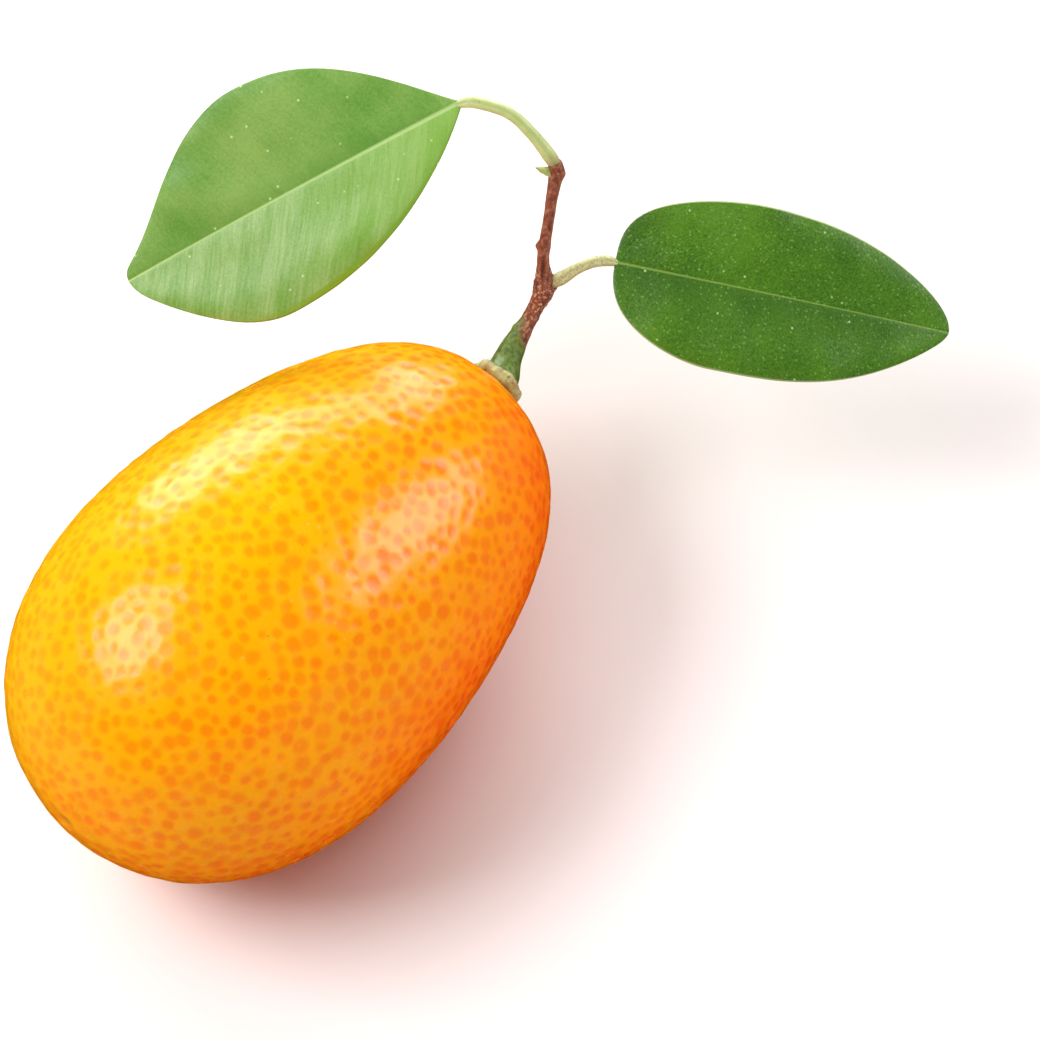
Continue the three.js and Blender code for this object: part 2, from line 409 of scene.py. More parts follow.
def cube_sphere(cells):
    """Directions spread over a sphere, from the skin of a lattice, and the quads between them."""
    counts = np.array(cells) + 1
    skin = np.zeros(counts, dtype=bool)
    skin[[0, -1]] = skin[:, [0, -1]] = skin[:, :, [0, -1]] = True
    number = np.full(counts, -1)
    number[skin] = np.arange(skin.sum())
    share = 2 * np.argwhere(skin) / np.array(cells) - 1
    directions = np.tan(share * np.pi / 4)
    directions /= np.linalg.norm(directions, axis=1, keepdims=True)
    quads = []
    for axis in range(3):
        for end in (0, -1):
            side = number.take(end, axis=axis)
            corners = (side[:-1, :-1], side[1:, :-1], side[1:, 1:], side[:-1, 1:])
            quad = np.stack(corners, axis=-1).reshape(-1, 4)
            quads.append(quad[:, ::-1] if (end == 0) != (axis == 1) else quad)
    return directions, np.concatenate(quads)


def fruit_surface(directions):
    s = directions[:, 0]
    linear, square, cubic = SWELL
    swell = 1 + linear * s + square * s**2 + cubic * s**3
    blunting = np.where(s > 0, STEM_FLATTENING * s**6, 0)
    return np.stack(
        [
            HALF_LENGTH * s * (1 - blunting),
            HALF_WIDTH * swell * directions[:, 1],
            HALF_WIDTH * swell * directions[:, 2],
        ],
        axis=1,
    )


def scatter(points, weights, gap, tries, rng):
    """Places on the surface that keep at least a gap between them."""
    picks = rng.choice(len(points), tries, p=weights / weights.sum())
    cells, kept = {}, []
    for pick in picks:
        point = points[pick]
        home = tuple(np.floor(point / gap).astype(int))
        near = (
            cells.get((home[0] + i, home[1] + j, home[2] + k), ())
            for i in (-1, 0, 1)
            for j in (-1, 0, 1)
            for k in (-1, 0, 1)
        )
        if all(((point - other) ** 2).sum() > gap**2 for group in near for other in group):
            cells.setdefault(home, []).append(point)
            kept.append(point)
    return np.array(kept)


def tree_of(points):
    tree = KDTree(len(points))
    for i, point in enumerate(points):
        tree.insert(point, i)
    tree.balance()
    return tree


def nearest(tree, points, count):
    """Numbers and distances of the nearest places in the tree to each point."""
    found = [tree.find_n(point, count) for point in points]
    numbers = np.array([[item[1] for item in row] for row in found])
    distances = np.array([[item[2] for item in row] for row in found])
    return numbers, distances


def fruit():
    rng = np.random.default_rng(11)
    directions, quads = cube_sphere(FRUIT_CELLS)
    points = fruit_surface(directions)
    across = quad_normals(points, quads)
    normals = at_corners(across, quads, len(points))
    normals /= np.linalg.norm(normals, axis=1, keepdims=True)
    weights = at_corners(np.linalg.norm(across, axis=1), quads, len(points))

    glands = scatter(points, weights, GLAND_GAP, GLAND_TRIES, rng)
    tree = tree_of(glands)
    _, gaps = nearest(tree, glands, 3)  # the first of the three is the gland itself
    radii = gaps[:, 1:].mean(axis=1) * rng.uniform(*GLAND_RADII, len(glands))
    radii *= np.where(rng.random(len(glands)) < SMALL_GLANDS, SMALL_SIZE, 1.0)
    tones = rng.random(len(glands))
    stretch = rng.normal(size=(len(glands), 3))
    stretch /= np.linalg.norm(stretch, axis=1, keepdims=True)

    numbers, _ = nearest(tree, points, 3)
    wobble = 1 + 0.08 * ripples(points, 0.7, rng)
    # how many radii away the nearest gland's middle is
    best = np.full(len(points), np.inf)
    tone = np.zeros(len(points))
    dent = np.zeros(len(points))
    for k in range(3):
        number = numbers[:, k]
        apart = points - glands[number]
        along = (apart * stretch[number]).sum(axis=1)
        distance = np.sqrt((apart**2).sum(axis=1) + GLAND_STRETCH * along**2)
        away = wobble * distance / radii[number]
        tone = np.where(away < best, tones[number], tone)
        best = np.minimum(best, away)
        cup = np.clip(1 - (away / DENT_REACH) ** 2, 0, 1) ** 2
        dent = np.maximum(dent, cup * np.minimum(radii[number] / USUAL_RADIUS, 1.1))
    spot = 1 - smooth_step((best - 0.55) / 0.6)

    waves = 0.5 * ripples(points, 3.2, rng) + 0.5 * ripples(points, 1.7, rng)
    height = WAVE_HEIGHT * waves - GLAND_DEPTH * dent
    # the peel is hollow under the calyx, and dips at the scar of the style
    pole = np.hypot(points[:, 1] - CALYX_OFFSET[0], points[:, 2] - CALYX_OFFSET[1])
    hollow = CALYX_HOLLOW * np.exp(-((pole / HOLLOW_REACH) ** 2))
    height -= np.where(points[:, 0] > 0, hollow, 0)
    scar = np.where(points[:, 0] < 0, np.hypot(points[:, 1], points[:, 2]), np.inf)
    height -= SCAR_DEPTH * np.exp(-((scar / SCAR_REACH) ** 2))
    points = points + normals * height[:, None]
    points[:, 2] = np.maximum(points[:, 2], GROUND)
    collar = np.exp(-((pole / COLLAR_STAIN) ** 4))
    values = {
        "spot": spot,
        "tone": tone,
        "scar": np.exp(-((scar / SCAR_STAIN) ** 2)),
        "collar": np.where(points[:, 0] > 0, collar, 0),
    }
    add_piece("fruit", points, quads, peel_material(), values)


RIPE_AND_SHADE_WAY = (0.32, -0.63, -0.65)  # the peel is riper by the stem, and redder on the near side and low, partly from ripeness and partly as painted shade
RIPE_AND_SHADE_START = -1.0  # ripeness with painted shade at the fruit's middle, which grows by about one a millimetre
RIPER_END = (-9, -19)  # where along the fruit its end away from the stem starts to be riper


def peel_material():
    nodes = Nodes("peel")
    split = nodes.add("ShaderNodeSeparateXYZ", {0: nodes.place()})
    # ripeness, plus painted shade that reddens the near, low side
    parts = [(split.outputs[axis], RIPE_AND_SHADE_WAY[axis] * PER_MM) for axis in range(3)]
    ripe_and_shade = nodes.math("ADD", nodes.blend(*parts), RIPE_AND_SHADE_START - float(MIDDLE @ RIPE_AND_SHADE_WAY))
    begins, ends = (float(MIDDLE[0] + x) * MM for x in RIPER_END)
    ripe_and_shade = nodes.math("ADD", ripe_and_shade, nodes.spread(split.outputs["X"], begins, ends, 0.0, 5.0))
    ripe_and_shade = nodes.math("ADD", ripe_and_shade, nodes.spread(nodes.noise(0.09, 2.0), 0.3, 0.7, -2.0, 2.0))
    # riper peel, and peel under more painted shade, turns from yellow-orange to orange, and then
    # to red-orange
    some, full = nodes.spread(ripe_and_shade, -10.0, -3.0), nodes.spread(ripe_and_shade, -0.5, 8.0)
    ground = nodes.mix(some, rgb(0.97, 0.49, 0.0), rgb(0.96, 0.37, 0.0))
    ground = nodes.mix(full, ground, rgb(0.93, 0.17, 0.0))
    deep = nodes.mix(some, rgb(0.95, 0.34, 0.0), rgb(0.92, 0.21, 0.0))
    deep = nodes.mix(full, deep, rgb(0.82, 0.08, 0.0))
    fine = nodes.noise(3.2, 3.0, 0.6)
    spot = nodes.value("spot")
    strength = nodes.spread(nodes.value("tone"), 0.0, 1.0, 0.65, 1.0)
    ragged = nodes.spread(fine, 0.3, 0.7, -0.14, 0.14)
    spot = nodes.times(nodes.math("ADD", spot, ragged, clamp=True), strength)
    color = nodes.mix(spot, ground, deep)
    mottle = nodes.spread(fine, 0.3, 0.7, 0.94, 1.06)
    grey = nodes.add("ShaderNodeCombineColor", {0: mottle, 1: mottle, 2: mottle})
    color = nodes.mix(1.0, color, grey.outputs[0], "MULTIPLY")
    color = nodes.paint(color, nodes.value("collar"), 0.55, rgb(0.55, 0.36, 0.02))
    color = nodes.paint(color, nodes.value("scar"), 0.6, rgb(0.4, 0.16, 0.04))
    pits = nodes.specks(0.9, 0.11, 0.5)
    color = nodes.paint(color, pits, 0.45, rgb(0.98, 0.5, 0.14))
    dirt = nodes.specks(0.55, 0.1, 0.3)
    color = nodes.paint(color, dirt, 0.5, rgb(0.35, 0.1, 0.02))
    grain = nodes.noise(5.0, 4.0, 0.65)
    normal = nodes.bump(grain, 0.012, 0.8)
    rough = nodes.spread(nodes.noise(0.8, 3.0), 0.3, 0.7, 0.2, 0.3)
    return nodes.finish(
        Base_Color=color,
        Roughness=rough,
        IOR=1.38,
        Normal=normal,
        Subsurface_Weight=0.3,
        Subsurface_Radius=(1.0, 0.45, 0.08),
        Subsurface_Scale=0.5 * MM,
    )


# ---- Calyx -----------------------------------------------------------------------------------

CALYX_SIDES = 144
CALYX_ROWS = 64
# reach from the axis and height above the foot, from the middle of the underside over the rim
CALYX_OUTLINE = np.array(
    [
        *[(0.3, -0.28), (0.6, -0.3), (0.85, -0.2), (0.97, 0.0), (1.01, 0.18), (1.01, 0.4)],
        *[(0.97, 0.58), (0.9, 0.69), (0.82, 0.7), (0.75, 0.66), (0.69, 0.7), (0.62, 0.8)],
        *[(0.5, 0.9), (0.2, 0.95)],
    ]
)
SEPALS = 5
# waves of the rim around the axis: their number, height and start
CALYX_LOBES = ((SEPALS, 0.05, 0.4), (11, 0.022, 1.1), (23, 0.014, 0.0))


def frame_across(normal):
    """Two directions that are square to a normal and to each other."""
    side = np.cross((0, 0, 1), normal)
    side /= np.linalg.norm(side)
    return side, np.cross(normal, side)


def calyx():
    rng = np.random.default_rng(5)
    angle = ring_angles(CALYX_SIDES)
    station = np.arange(len(CALYX_OUTLINE))
    share = np.linspace(0, station[-1], CALYX_ROWS)
    reach, height = (np.interp(share, station, column) for column in CALYX_OUTLINE.T)
    kernel = np.ones(5) / 5  # a running mean rounds the outline's corners
    reach[2:-2] = np.convolve(reach, kernel, "valid")
    height[2:-2] = np.convolve(height, kernel, "valid")
    side, other = frame_across(CALYX_NORMAL)
    lobes = sum(high * np.cos(number * angle + start) for number, high, start in CALYX_LOBES)
    rim = smooth_step((reach - 0.55) / 0.4)
    radius = CALYX_RADIUS * reach[:, None] * (1 + rim[:, None] * lobes[None, :])
    wave = 0.06 * rim[:, None] * np.cos(SEPALS * angle + 2.0)[None, :]
    lift = height[:, None] + wave * (height > 0.3)[:, None]
    ring = around_ring(angle, side, other)
    sections = CALYX_FOOT + radius[..., None] * ring + lift[..., None] * CALYX_NORMAL
    points, faces = closed_tube(sections)
    rough = 0.03 * ripples(points, 0.55, rng) + 0.015 * ripples(points, 0.25, rng)
    out = points - (CALYX_FOOT + 0.3 * CALYX_NORMAL)
    points = points + out / np.linalg.norm(out, axis=1, keepdims=True) * rough[:, None]
    values = {"reach": np.append(np.repeat(reach, CALYX_SIDES), reach[[0, -1]])}
    add_piece("calyx", points, faces, calyx_material(), values)


def calyx_material():
    nodes = Nodes("calyx")
    blotch = nodes.spread(nodes.noise(1.1, 4.0, 0.65), 0.42, 0.6)
    reach = nodes.value("reach")
    color = nodes.mix(nodes.spread(reach, 0.6, 0.95), rgb(0.2, 0.28, 0.05), rgb(0.5, 0.5, 0.2))
    color = nodes.paint(color, blotch, 0.7, rgb(0.3, 0.18, 0.06))
    fleck = nodes.spread(nodes.noise(3.5, 2.0), 0.6, 0.68)
    color = nodes.paint(color, fleck, 0.7, rgb(0.1, 0.045, 0.02))
    normal = nodes.bump(nodes.noise(4.0, 4.0, 0.6), 0.06)
    return nodes.finish(Base_Color=color, Roughness=0.55, Normal=normal)


# ---- Stems -----------------------------------------------------------------------------------

CURVE_STEPS = 24  # between two stations
GROOVE_WIDTH = 0.06  # how far a point's facing is from 1 at the side of a groove


def smooth_route(stations, steps, softening):
    """Places and radii at even distances along a smooth curve through the stations."""
    rows = np.array([(*place, radius) for place, radius in stations], dtype=float)
    rows = np.vstack([2 * rows[0] - rows[1], rows, 2 * rows[-1] - rows[-2]])
    t = np.linspace(0, 1, CURVE_STEPS, endpoint=False)[:, None]
    parts = []
    for a, b, c, d in zip(rows, rows[1:], rows[2:], rows[3:]):
        square = 2 * a - 5 * b + 4 * c - d
        cubic = 3 * b - a - 3 * c + d
        parts.append(0.5 * (2 * b + (c - a) * t + square * t**2 + cubic * t**3))
    dense = np.vstack([*parts, rows[-2]])
    gone = np.concatenate([[0], np.linalg.norm(np.diff(dense[:, :3], axis=0), axis=1).cumsum()])
    even = np.linspace(0, gone[-1], steps)
    route = np.stack([np.interp(even, gone, dense[:, i]) for i in range(4)], axis=1)
    for _ in range(softening):
        route[1:-1] = (route[:-2] + 2 * route[1:-1] + route[2:]) / 4
    return route


def sweep(stations, steps, sides, softening, relief):
    """A stem whose radius is changed by relief(places, shares of its length, angles, outward).

    Each row of outward is the way from the stem's axis to a point.
    """
    route = smooth_route(stations, steps, softening)
    centre, radius = route[:, :3], route[:, 3]
    tangent = np.gradient(centre, axis=0)
    tangent /= np.linalg.norm(tangent, axis=1, keepdims=True)
    side = np.cross((0, 0, 1), tangent[0])
    side /= np.linalg.norm(side)
    angle = ring_angles(sides)
    rings = []
    for place, way in zip(centre, tangent):
        side = side - way * side.dot(way)
        side /= np.linalg.norm(side)
        rings.append(around_ring(angle, side, np.cross(way, side)))
    rings = np.array(rings)
    bare = centre[:, None] + radius[:, None, None] * rings
    around = np.broadcast_to(angle, radius.shape + angle.shape)
    share = np.broadcast_to(np.linspace(0, 1, steps)[:, None], around.shape)
    outward = rings.reshape(-1, 3)
    change, values = relief(bare.reshape(-1, 3), share.ravel(), around.ravel(), outward)
    full = radius[:, None] * np.ones_like(around) + change.reshape(around.shape)
    points, faces = closed_tube(centre[:, None] + full[..., None] * rings)
    values = {key: np.append(column, [column[0], column[-1]]) for key, column in values.items()}
    values["share"] = np.append(share.ravel(), [0, 1])
    return points, faces, values


def facing(outward, sides, towards):
    """How squarely each point of a ring faces a way; 1 at the ring's foremost point."""
    turned = (outward @ np.array(towards)).reshape(-1, sides)
    return (turned / turned.max(axis=1, keepdims=True)).ravel()


def groove_along(outward, sides, towards):
    """1 along a stem's foremost line towards a way, falling off around it."""
    return np.exp(-(((1 - facing(outward, sides, towards)) / GROOVE_WIDTH) ** 2))


def close_to(points, place, reach):
    """1 at a place, falling off smoothly over a reach."""
    return np.exp(-(((points - np.array(place)) ** 2).sum(axis=1)) / reach**2)


TWIG_RINGS, TWIG_SIDES = 220, 56
CONE_START, CONE_LENGTH = 0.02, 0.26  # shares of the twig, whose green foot is a ridged cone
ROUGH_BARK, ROUGH_REACH = (25.6, 1.7, 3.2), 2.2
TWIG_NODE, NODE_REACH = (26.1, 1.65, 4.1), 0.9
FISSURE, FISSURE_REACH = (26.6, 2.1, 5.6), 0.95
FISSURE_SIDE = (-0.36, -0.32, 0.876)
# Small knobs where leaves and scales once stood: place, reach and height.
TWIG_KNOBS = [
    ((26.8, 2.85, 7.0), 0.28, 0.2),
    ((29.5, 3.1, 12.0), 0.35, 0.12),
    ((25.4, 1.1, 3.3), 0.32, 0.1),
    ((26.6, 1.2, 4.1), 0.35, 0.16),
    ((23.6, 2.0, 1.9), 0.3, 0.1),
    ((26.9, 2.0, 7.4), 0.25, 0.06),
]


def twig():
    rng = np.random.default_rng(21)

    def relief(points, share, around, outward):
        cone = 1 - smooth_step((share - CONE_START) / CONE_LENGTH)
        ridges = 0.045 * cone * np.cos(5 * around + 3 * share)
        ridges = ridges + 0.02 * cone * np.cos(11 * around + 1)
        grain = np.abs(ripples(points * (1, 1, 0.35), 0.5, rng))
        rough = 0.25 + 0.75 * close_to(points, ROUGH_BARK, ROUGH_REACH)
        change = ridges + 0.03 * rough * (1 - cone) * (grain - 0.5)
        change += 0.008 * (1 - cone) * np.cos(7 * around) + 0.012 * ripples(points, 1.1, rng)
        change += 0.05 * close_to(points, TWIG_NODE, NODE_REACH) * ripples(points, 0.35, rng)
        fissure = groove_along(outward, TWIG_SIDES, FISSURE_SIDE)
        fissure = fissure * close_to(points, FISSURE, FISSURE_REACH)
        change -= 0.1 * fissure
        for place, reach, height in TWIG_KNOBS:
            change += height * close_to(points, place, reach)
        values = {"grain": grain, "rough": rough, "fissure": fissure}
        values["left"] = outward @ -RIGHT
        return change, values

    points, faces, values = sweep(TWIG, TWIG_RINGS, TWIG_SIDES, 20, relief)
    add_piece("twig", points, faces, bark_material(), values)


def bark_material():
    nodes = Nodes("bark")
    share = nodes.value("share")
    # the green foot ends raggedly, and further up on the side that is left in the picture
    edge = nodes.math("ADD", share, nodes.times(nodes.noise(0.9, 4.0, 0.7), 0.16))
    edge = nodes.math("ADD", edge, nodes.times(nodes.value("left"), -0.06))
    woody = nodes.spread(edge, 0.26, 0.33)
    squash = {"Vector": nodes.place(), "Scale": (1.0, 1.0, 0.25)}
    lengthwise = nodes.add("ShaderNodeMapping", squash).outputs[0]
    streak = nodes.noise(3.6, 4.0, 0.65, lengthwise)
    contrast = nodes.spread(streak, 0.35, 0.65)
    green = nodes.mix(contrast, rgb(0.04, 0.1, 0.006), rgb(0.2, 0.29, 0.05))
    bark = nodes.mix(contrast, rgb(0.14, 0.03, 0.016), rgb(0.36, 0.11, 0.055))
    crust = nodes.spread(nodes.noise(4.2, 3.0, 0.6), 0.53, 0.6)
    pale = nodes.times(crust, nodes.value("rough"))
    bark = nodes.paint(bark, pale, 0.8, rgb(0.72, 0.45, 0.3))
    bark = nodes.paint(bark, nodes.specks(2.6, 0.08, 0.2), 0.5, rgb(0.7, 0.5, 0.4))
    dark = nodes.times(nodes.spread(nodes.value("grain"), 0.25, 0.0), nodes.value("rough"))
    bark = nodes.paint(bark, dark, 0.7, rgb(0.06, 0.02, 0.012))
    bark = nodes.paint(bark, nodes.value("fissure"), 0.9, rgb(0.05, 0.01, 0.008))
    color = nodes.mix(woody, green, bark)
    rough = nodes.spread(woody, 0.0, 1.0, 0.32, 0.5)
    normal = nodes.bump(nodes.noise(3.2, 5.0, 0.7), 0.06)
    return nodes.finish(Base_Color=color, Roughness=rough, Normal=normal)


PETIOLE_RINGS, PETIOLE_SIDES = 110, 40


def petiole(name, stations, seed, material):
    rng = np.random.default_rng(seed)

    def relief(points, _share, _around, outward):
        groove = groove_along(outward, PETIOLE_SIDES, LEAF_FACE)
        change = -0.05 * groove + 0.005 * ripples(points, 0.7, rng)
        change += 0.003 * ripples(points, 0.3, rng)
        return change, {"groove": groove}

    points, faces, values = sweep(stations, PETIOLE_RINGS, PETIOLE_SIDES, 50, relief)
    add_piece(name, points, faces, material, values)


def petiole_material(name, light, dark, fleck_color, fleck_level):
    nodes = Nodes(name)
    streak = nodes.spread(nodes.noise(1.4, 4.0, 0.6), 0.35, 0.65, 0.0, 0.35)
    color = nodes.mix(streak, light, dark)
    color = nodes.paint(color, nodes.value("groove"), 0.5, dark)
    fleck = nodes.spread(nodes.noise(6.5, 2.0, 0.5), fleck_level, fleck_level + 0.05)
    color = nodes.paint(color, fleck, 0.6, fleck_color)
    foot = nodes.spread(nodes.value("share"), 0.13, 0.0)
    color = nodes.paint(color, foot, 0.6, rgb(0.24, 0.13, 0.05))
    normal = nodes.bump(nodes.noise(3.0, 4.0, 0.6), 0.03)
    return nodes.finish(Base_Color=color, Roughness=0.42, Normal=normal)


BUD_SIDES = 28
BUD_ROWS = 26
BUD_RADIUS = 0.31
BUD_POINT = 0.012  # its radius at the tip


def bud():
    rng = np.random.default_rng(31)
    base, tip = np.array(BUD_BASE), np.array(BUD_TIP)
    base = base + 0.5 * (base - tip)  # the bud begins inside the twig
    span = np.linalg.norm(tip - base)
    share = np.linspace(0, 1, BUD_ROWS)
    radius = BUD_RADIUS * (1 - share**1.7) + BUD_POINT
    side, other = frame_across((tip - base) / span)
    angle = ring_angles(BUD_SIDES)
    folds = 1 + 0.1 * np.cos(3 * angle[None, :] + 5 * share[:, None])
    out = (radius[:, None] * folds)[..., None] * around_ring(angle, side, other)
    points, faces = closed_tube(base + share[:, None, None] * (tip - base) + out)
    points = points + 0.01 * ripples(points, 0.3, rng)[:, None]
    values = {"share": np.append(np.repeat(share, BUD_SIDES), [0, 1])}
    add_piece("bud", points, faces, bud_material(), values)


def bud_material():
    nodes = Nodes("bud")
    color = nodes.mix(nodes.noise(2.5, 3.0), rgb(0.34, 0.46, 0.12), rgb(0.5, 0.6, 0.22))
    color = nodes.mix(nodes.spread(nodes.value("share"), 0.8, 1.0), color, rgb(0.2, 0.1, 0.03))
    normal = nodes.bump(nodes.noise(4.0, 3.0), 0.03)
    return nodes.finish(Base_Color=color, Roughness=0.45, Normal=normal)


# ---- Leaves ----------------------------------------------------------------------------------

BLADE_THICKNESS = 0.3
BLADE_EDGE = 0.13  # thickness at the margin
BLADE_ROWS = 190  # cells from base to tip
BLADE_CELLS = 46  # cells from the midrib to each margin
BLUNT_START = 0.8  # the share of the length where the blunt tip begins
RIB_REACH = 0.2  # half width of the midrib at the base, and half of that at the tip
VEIN_REACH = 0.16  # half width of a side vein
VEIN_CURVE = 0.02  # how strongly the side veins bend


def half_width(side, blunt, u):
    """From the midrib to the margin on one side, at shares u of the length."""
    before = u < side["widest"]
    t = np.where(before, 1 - u / side["widest"], (u - side["widest"]) / (1 - side["widest"]))
    power = np.where(before, side["base"][0], side["tip"][0])
    rounding = np.where(before, side["base"][1], side["tip"][1])
    by_tip = np.clip((u - BLUNT_START) / (1 - BLUNT_START), 0, 1)
    bluntness = blunt * by_tip**2 * np.sqrt(1 - by_tip**16)
    return side["width"] * (1 - np.clip(t, 0, 1) ** power) ** rounding + bluntness


def blade(name, leaf, seed, material):
    rng = np.random.default_rng(seed)
    base, tip = np.array(leaf["base"]), np.array(leaf["tip"])
    along = tip - base
    length = np.linalg.norm(along)
    unit = along / length
    up = np.array(LEAF_FACE) - unit * np.dot(LEAF_FACE, unit)
    up /= np.linalg.norm(up)
    across = np.cross(up, unit)

    # u runs from base to tip, with closer rows by both, and v from one margin to the other
    u = 0.0005 + 0.999 * (1 - np.cos(np.pi * np.arange(BLADE_ROWS + 1) / BLADE_ROWS)) / 2
    v = np.arange(-BLADE_CELLS, BLADE_CELLS + 1) / BLADE_CELLS
    u, v = np.meshgrid(u, v, indexing="ij")
    left, right = (half_width(leaf[side], leaf["blunt"], u) for side in ("left", "right"))
    wide = np.where(v > 0, left, right)
    out = np.abs(v) * wide
    roll = np.where(v > 0, leaf["left"]["roll"], leaf["right"]["roll"])
    edge = np.abs(v) ** 3
    flat = base + u[..., None] * along + (np.sign(v) * out)[..., None] * across

    def waves(wavelength):
        return ripples(flat.reshape(-1, 3), wavelength, rng).reshape(u.shape)

    # the veins lean towards the tip as they leave the midrib, and bend further on their way out
    slope = np.where(v > 0, leaf["left"]["slope"], leaf["right"]["slope"])
    travel = u * length - out * slope - VEIN_CURVE * out**2
    travel = travel + 0.12 * waves(9.0)
    gap = leaf["vein_gap"]
    phase = travel / gap
    off_vein = (phase - np.round(phase)) * gap
    vein = np.exp(-((off_vein / VEIN_REACH) ** 2)) * (1 - np.abs(v) ** 4)
    quilt = np.cos(2 * np.pi * phase)
    rib = np.exp(-((out / (RIB_REACH * (1 - 0.5 * u))) ** 2))
    stir = 0.09 * waves(5.0) * np.minimum(out / 2, 1)
    frill = 0.12 * np.abs(v) ** 4 * waves(3.2)
    height = leaf["arch"] * 4 * u * (1 - u) + leaf["fold"] * out
    midway = np.sin(np.pi * u)
    height = height - roll * np.abs(v) ** 8 * midway + stir + frill * midway
    thick = BLADE_THICKNESS * (1 - edge) + BLADE_EDGE * edge
    relief = -0.03 * rib - 0.006 * vein - 0.005 * quilt * (1 - edge)
    under = -0.18 * rib * (1 - 0.5 * u) - 0.02 * vein

    top = flat + (height + thick / 2 + relief)[..., None] * up
    bottom = flat + (height - thick / 2 + under)[..., None] * up
    sections = np.concatenate([top, bottom[:, ::-1]], axis=1)
    points, faces = closed_tube(sections)

    def two_sided(above, below):
        joined = np.concatenate([above, below[:, ::-1]], axis=1)
        return np.append(joined.ravel(), [joined[0, 0], joined[-1, 0]])

    same = {"rib": rib, "edge": np.abs(v), "side": v, "along": u, "travel": travel}
    same["out"] = out * np.sign(v)
    values = {key: two_sided(column, column) for key, column in same.items()}
    values["upper"] = two_sided(np.ones_like(u), np.zeros_like(u))
    add_piece(name, points, faces, material, values)


def vein_place(nodes, squeeze):
    """Coordinates for streaks: x across the veins and y along them."""
    away = nodes.times(nodes.value("out"), squeeze)
    inputs = {0: nodes.value("travel"), 1: away, 2: nodes.value("upper")}
    return nodes.add("ShaderNodeCombineXYZ", inputs).outputs[0]


def pale_leaf_material():
    nodes = Nodes("pale_leaf")
    side = nodes.value("side")
    streak = nodes.texture(vein_place(nodes, 0.1), 5.5, 4.0, 0.65)
    broad = nodes.texture(vein_place(nodes, 0.25), 0.7, 2.0)
    grain = nodes.noise(6.0, 4.0, 0.6)
    patch = nodes.noise(0.22, 2.0)
    # the blade's halves differ, and side is above 0 on the nearer one, which is painted paler as
    # a painted sheen
    combed = nodes.blend((streak, 0.42), (broad, 0.33), (grain, 0.25))
    contrast = nodes.spread(combed, 0.38, 0.62)
    # the nearer half's colours, made paler by a painted sheen
    nearer_sheened = nodes.mix(contrast, rgb(0.16, 0.37, 0.045), rgb(0.36, 0.55, 0.2))
    grainy = nodes.blend((streak, 0.16), (patch, 0.5), (grain, 0.34))
    contrast = nodes.spread(grainy, 0.38, 0.62)
    farther = nodes.mix(contrast, rgb(0.12, 0.32, 0.04), rgb(0.28, 0.47, 0.11))
    color = nodes.mix(nodes.spread(side, -0.015, 0.015), farther, nearer_sheened)
    # painted shade along the midrib, on the farther half
    crease_shade = nodes.times(nodes.spread(side, -0.3, -0.02), nodes.spread(side, 0.0, -0.02))
    color = nodes.paint(color, crease_shade, 0.4, rgb(0.12, 0.3, 0.045))
    near_base = nodes.times(nodes.spread(nodes.value("along"), 0.6, 0.05), 0.55)
    near_base = nodes.times(near_base, nodes.spread(side, -0.015, 0.015))
    color = nodes.mix(near_base, color, rgb(0.25, 0.5, 0.05))
    rib = nodes.spread(nodes.value("rib"), 0.5, 0.85)
    color = nodes.paint(color, rib, 0.8, rgb(0.5, 0.72, 0.27))
    # painted shade: a saturated green band where the nearer margin rolls down away from the
    # light, from the base to past the middle
    by_base = nodes.spread(nodes.value("along"), 0.8, 0.55)
    rolled_margin_shade = nodes.times(nodes.spread(side, 0.925, 0.955), by_base)
    color = nodes.paint(color, rolled_margin_shade, 0.9, rgb(0.21, 0.42, 0.025))
    outline = nodes.spread(nodes.value("edge"), 0.982, 0.995)
    color = nodes.paint(color, outline, 0.5, rgb(0.14, 0.26, 0.06))
    dots = nodes.specks(1.0, 0.11, 0.6)
    color = nodes.paint(color, dots, 0.8, rgb(0.62, 0.78, 0.42))
    under = nodes.mix(combed, rgb(0.26, 0.42, 0.14), rgb(0.4, 0.55, 0.24))
    color = nodes.mix(nodes.value("upper"), under, color)
    normal = nodes.bump(streak, 0.03, 0.5)
    normal = nodes.bump(grain, 0.025, 0.6, normal)
    return nodes.finish(
        Base_Color=color,
        Roughness=0.42,
        IOR=1.42,
        Normal=normal,
        Subsurface_Weight=0.15,
        Subsurface_Radius=(0.5, 1.0, 0.2),
        Subsurface_Scale=0.25 * MM,
    )


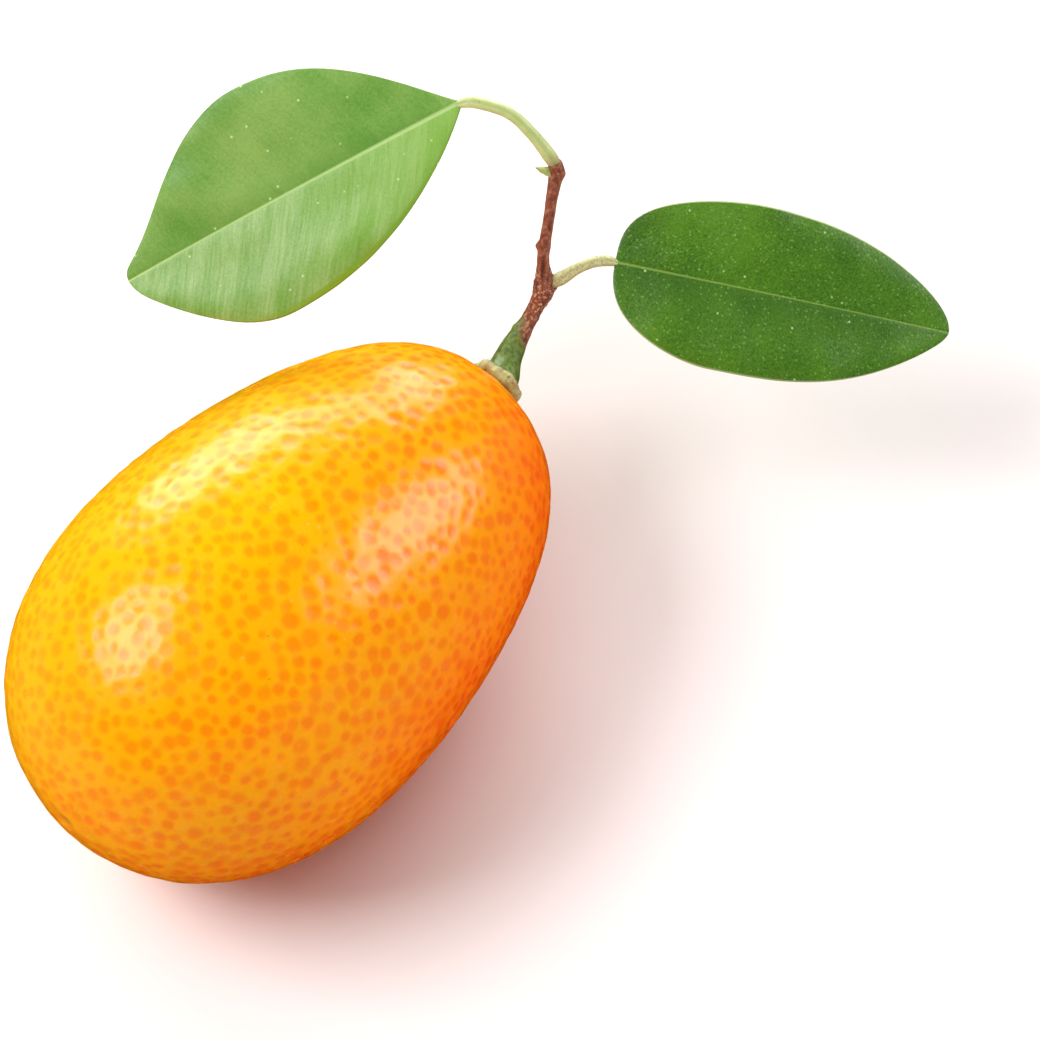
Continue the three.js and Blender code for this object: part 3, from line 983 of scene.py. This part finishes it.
def dark_leaf_material():
    nodes = Nodes("dark_leaf")
    side = nodes.value("side")
    streak = nodes.texture(vein_place(nodes, 0.7), 7.0, 3.0, 0.7)
    grain = nodes.noise(7.0, 3.0, 0.7)
    broad = nodes.noise(0.22, 3.0)
    tone = nodes.blend((streak, 0.26), (broad, 0.32), (grain, 0.42))
    contrast = nodes.spread(tone, 0.4, 0.59)
    color = nodes.mix(contrast, rgb(0.028, 0.11, 0.004), rgb(0.1, 0.26, 0.012))
    shaded = nodes.times(nodes.spread(side, -0.6, -0.05), nodes.spread(side, 0.0, -0.02))
    color = nodes.paint(color, shaded, 0.45, rgb(0.03, 0.11, 0.006))
    glands = nodes.specks(3.2, 0.09, 0.6)
    color = nodes.paint(color, glands, 0.5, rgb(0.22, 0.44, 0.09))
    dots = nodes.specks(1.0, 0.1, 0.6)
    color = nodes.paint(color, dots, 0.7, rgb(0.55, 0.72, 0.36))
    rib = nodes.spread(nodes.value("rib"), 0.72, 0.97)
    color = nodes.paint(color, rib, 0.65, rgb(0.27, 0.43, 0.08))
    margin = nodes.spread(nodes.value("edge"), 0.978, 0.99)
    color = nodes.paint(color, margin, 0.8, rgb(0.45, 0.52, 0.22))
    under = nodes.mix(tone, rgb(0.16, 0.3, 0.07), rgb(0.26, 0.42, 0.13))
    color = nodes.mix(nodes.value("upper"), under, color)
    normal = nodes.bump(nodes.noise(3.0, 4.0, 0.6), 0.04, 0.7)
    normal = nodes.bump(grain, 0.05, 0.7, normal)
    return nodes.finish(Base_Color=color, Roughness=0.38, IOR=1.45, Normal=normal)


# ---- Floor -----------------------------------------------------------------------------------

FLOOR_HALF = 3.0  # metres


def add_floor():
    mesh = bpy.data.meshes.new("floor")
    signs = ((-1, -1), (1, -1), (1, 1), (-1, 1))
    corners = [(x * FLOOR_HALF, y * FLOOR_HALF, 0) for x, y in signs]
    mesh.from_pydata(corners, [], [(0, 1, 2, 3)])
    nodes = Nodes("floor")
    shade = nodes.spread(nodes.noise(0.02, 2.0), 0.3, 0.7, 0.86, 0.88)
    color = nodes.mix(shade, rgb(0.0, 0.0, 0.0), rgb(1.0, 0.955, 0.95))
    mesh.materials.append(nodes.finish(Base_Color=color, Roughness=0.6))
    floor = bpy.data.objects.new("floor", mesh)
    bpy.context.scene.collection.objects.link(floor)
    ground_only.objects.link(floor)
    floor.visible_glossy = False  # for the same reason as the world


# ---- The whole kumquat -----------------------------------------------------------------------

add_camera()
add_world(0.2, (1.0, 0.8, 0.74))  # warm, as the shadows are in the photograph
add_softbox("far_softbox", 45, 15, (0.95, 0.3), 8.0)
add_softbox("left_softbox", 132, 49, (0.46, 0.42), 9.5)
add_softbox("right_softbox", -35, 32, (0.3, 0.46), 8.5, lit=kumquat)
add_softbox("front_softbox", -112, 12, (1.5, 0.5), 1.2, lit=kumquat, mirrored=False)
add_softbox("overhead_softbox", 100, 78, (1.3, 1.3), 1.15, lit=ground_only)
add_floor()

fruit()
calyx()
twig()
bud()
# a petiole's light, dark and fleck colours, and the noise level where the flecks begin
paints = (rgb(0.6, 0.66, 0.3), rgb(0.3, 0.44, 0.1), rgb(0.3, 0.25, 0.08), 0.66)
petiole("left_petiole", LEFT_PETIOLE, 41, petiole_material("left_petiole", *paints))
paints = (rgb(0.6, 0.6, 0.3), rgb(0.33, 0.38, 0.14), rgb(0.26, 0.16, 0.06), 0.56)
petiole("right_petiole", RIGHT_PETIOLE, 43, petiole_material("right_petiole", *paints))
blade("left_leaf", LEFT_LEAF, 51, pale_leaf_material())
blade("right_leaf", RIGHT_LEAF, 53, dark_leaf_material())

bpy.context.scene.view_settings.view_transform = "Standard"
bpy.context.scene.view_settings.look = "None"
